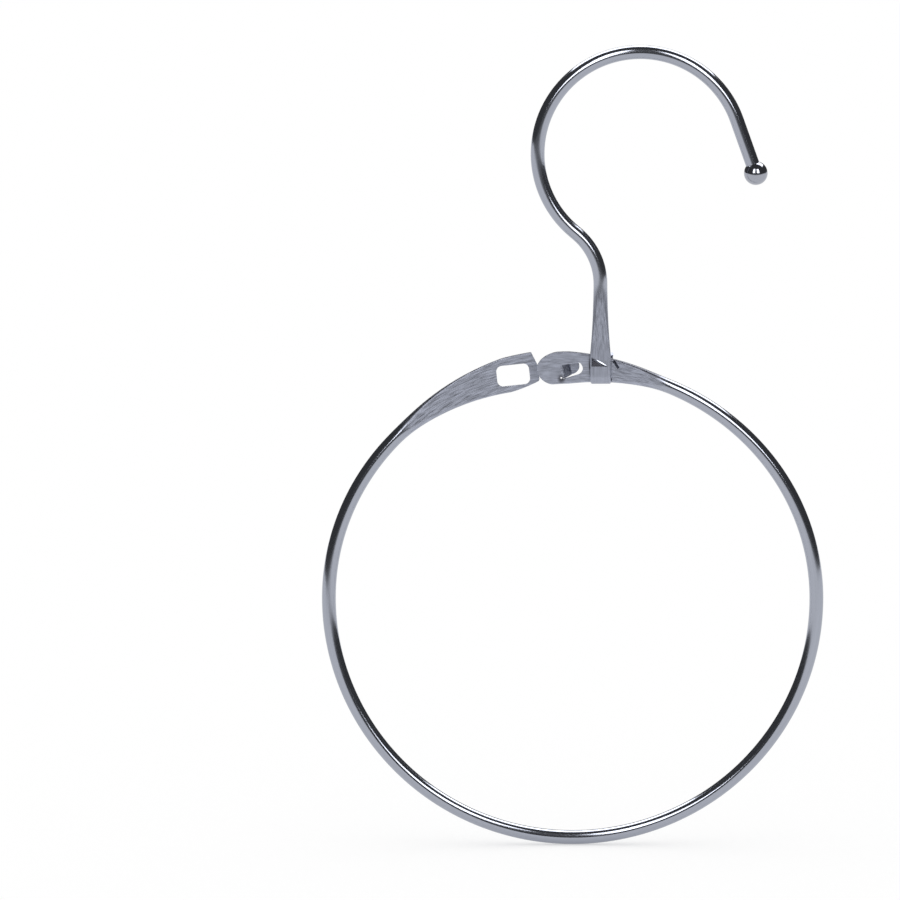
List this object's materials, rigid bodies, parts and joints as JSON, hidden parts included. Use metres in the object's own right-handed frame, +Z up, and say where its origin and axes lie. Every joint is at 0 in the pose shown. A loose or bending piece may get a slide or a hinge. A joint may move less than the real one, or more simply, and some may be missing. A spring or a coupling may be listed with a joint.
{
  "type": "belt ring hanger",
  "caption": "Sprung wire ring that belts thread onto, shut by a lanced tongue and slot clasp, hung from a ball-ended wire hook whose flattened foot wraps the ring.",
  "frame": {"origin": "inner top of the hook, where it sits on a rail", "axes": "+Z up, +X towards the hook's ball end along the ring's width, +Y from the front, which shows the strap's tooth, to the back"},
  "size_m": [0.1327, 0.0087, 0.2138],
  "materials": {
    "ring_wire": "bright plated spring wire, lightly brushed on its pressed flats",
    "hook_wire": "bright plated wire, lightly brushed on its pressed foot",
    "hook_ball": "polished and plated"
  },
  "bodies": {
    "tongue_arm": {"ring_tongue_arm": "ring_wire", "hook_wire": "hook_wire", "hook_ball": "hook_ball"},
    "spring_bend": {"ring_spring_bend": "ring_wire"},
    "slotted_arm": {"ring_slotted_arm": "ring_wire"}
  },
  "joints": [
    {"name": "ring_squeeze", "type": "hinge", "parent": "tongue_arm", "child": "spring_bend", "pos_m": [-0.01776, 0, -0.20833], "axis": [0, 1, 0], "range_deg": [-14, 6.2], "stiffness_Nm_per_rad": 12.2},
    {"name": "ring_side_flex", "type": "hinge", "parent": "spring_bend", "child": "slotted_arm", "pos_m": [-0.02787, 0, -0.20754], "axis": [0.9879, 0, -0.1553], "range_deg": [-15, 1.28], "stiffness_Nm_per_rad": 7.5}
  ]
}
